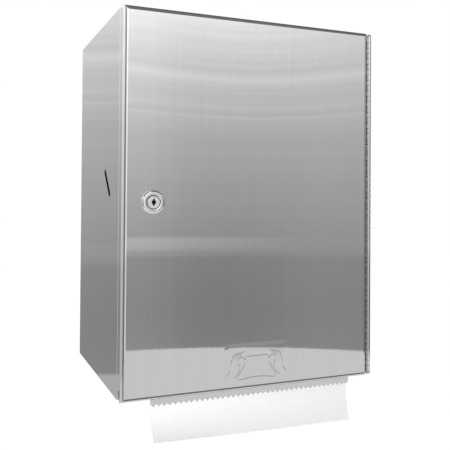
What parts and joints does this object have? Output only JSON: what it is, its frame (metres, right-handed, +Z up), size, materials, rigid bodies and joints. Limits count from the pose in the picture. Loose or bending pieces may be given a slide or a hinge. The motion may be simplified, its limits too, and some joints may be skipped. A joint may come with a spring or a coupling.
{
  "type": "paper towel dispenser",
  "caption": "Wall-mounted stainless roll towel dispenser: box cabinet, piano-hinged locking door, feed drum with knife, sprung roller and serrated tear bar.",
  "frame": {"origin": "centre of the four wall holes, on the cabinet's outer back face", "axes": "+X to the right as seen from the front, +Y into the wall, +Z up"},
  "size_m": [0.273, 0.2157, 0.4098],
  "materials": {
    "stainless": "satin brushed stainless sheet",
    "bright_steel": "bright plated steel",
    "zinc_plate": "zinc-plated pressed steel",
    "spring_steel": "oiled spring steel",
    "lock_chrome": "bright chromed lock",
    "grey_plastic": "moulded dark grey plastic",
    "white_plastic": "moulded off-white acetal",
    "rubber": "matt black rubber",
    "towel_paper": "creped white tissue",
    "core_board": "wound grey-brown board"
  },
  "bodies": {
    "cabinet": {"cabinet_shell": "stainless", "top_panel": "stainless", "bottom_panel": "stainless", "hinge_cabinet_leaf": "stainless", "hinge_pin": "bright_steel", "strike_plate": "zinc_plate", "tear_bar": "stainless", "tear_bar_screws": "bright_steel", "outlet_guide": "grey_plastic", "module_plate_left": "zinc_plate", "module_plate_right": "zinc_plate", "frame_screws": "bright_steel", "rear_bridge": "zinc_plate", "tie_rods": "bright_steel", "drum_bushes": "white_plastic", "one_way_clutch": "grey_plastic", "knife_cam": "white_plastic", "spring_post": "bright_steel", "drive_spring": "spring_steel", "pressure_shaft": "bright_steel", "pressure_springs": "spring_steel", "roll_arm_left": "zinc_plate", "roll_hub_left": "white_plastic", "roll_arm_bracket": "zinc_plate", "roll_arm_pin": "bright_steel", "roll_arm_spring": "spring_steel", "towel_web": "towel_paper", "towel_tail": "towel_paper"},
    "door": {"door_panel": "stainless", "hinge_door_leaf": "stainless", "lock_housing": "lock_chrome", "lock_nut": "zinc_plate", "door_bumpers": "rubber"},
    "lock": {"lock_plug": "lock_chrome", "lock_cam": "zinc_plate", "cam_screw": "bright_steel"},
    "drum": {"drum_shell": "grey_plastic", "drum_cap_left": "grey_plastic", "drum_cap_right": "grey_plastic", "drum_screws": "bright_steel", "grip_bands": "rubber", "crank_disc": "zinc_plate", "crank_pin": "bright_steel", "feed_knob": "white_plastic"},
    "knife": {"knife_carrier": "grey_plastic", "knife_blade": "spring_steel", "knife_lever": "zinc_plate", "knife_follower": "white_plastic"},
    "pressure_frame": {"pressure_arms": "zinc_plate", "pressure_axle": "bright_steel"},
    "pressure_roll": {"pressure_roller": "white_plastic", "pressure_sleeves": "rubber"},
    "holder_arm": {"roll_arm_right": "zinc_plate", "roll_hub_right": "white_plastic"},
    "towel": {"roll_core": "core_board", "towel_roll": "towel_paper"}
  },
  "joints": [
    {"name": "door_swing", "type": "hinge", "parent": "cabinet", "child": "door", "pos_m": [0.134, -0.2095, 0], "axis": [0, 0, 1], "range_deg": [0, 175]},
    {"name": "lock_turn", "type": "hinge", "parent": "door", "child": "lock", "pos_m": [-0.1074, -0.212, 0.0008], "axis": [0, 1, 0], "range_deg": [0, 90]},
    {"name": "drum_spin", "type": "hinge", "parent": "cabinet", "child": "drum", "pos_m": [0, -0.1498, -0.109], "axis": [1, 0, 0], "continuous": true, "deforming": ["drive_spring"]},
    {"name": "knife_swing", "type": "hinge", "parent": "drum", "child": "knife", "pos_m": [0, -0.15829, -0.14577], "axis": [-1, 0, 0], "range_deg": [-20, 0], "stiffness_Nm_per_rad": 0.2, "springref_deg": 8.59},
    {"name": "pressure_lift", "type": "hinge", "parent": "cabinet", "child": "pressure_frame", "pos_m": [0, -0.071, -0.08429], "axis": [-1, 0, 0], "range_deg": [0, 10], "stiffness_Nm_per_rad": 2, "springref_deg": -17.19},
    {"name": "pressure_roller_spin", "type": "hinge", "parent": "pressure_frame", "child": "pressure_roll", "pos_m": [0, -0.10631, -0.06551], "axis": [1, 0, 0], "continuous": true},
    {"name": "towel_roll_spin", "type": "hinge", "parent": "cabinet", "child": "towel", "pos_m": [0, -0.104, 0.078], "axis": [1, 0, 0], "continuous": true},
    {"name": "roll_arm_swing", "type": "hinge", "parent": "cabinet", "child": "holder_arm", "pos_m": [0.123, -0.012, 0.078], "axis": [0, 0, 1], "range_deg": [0, 7], "stiffness_Nm_per_rad": 1, "springref_deg": -17.19}
  ],
  "couplings": [
    {"joint": "pressure_roller_spin", "follows": "drum_spin", "ratio": -4.0417},
    {"joint": "towel_roll_spin", "follows": "drum_spin", "ratio": -0.55114}
  ]
}
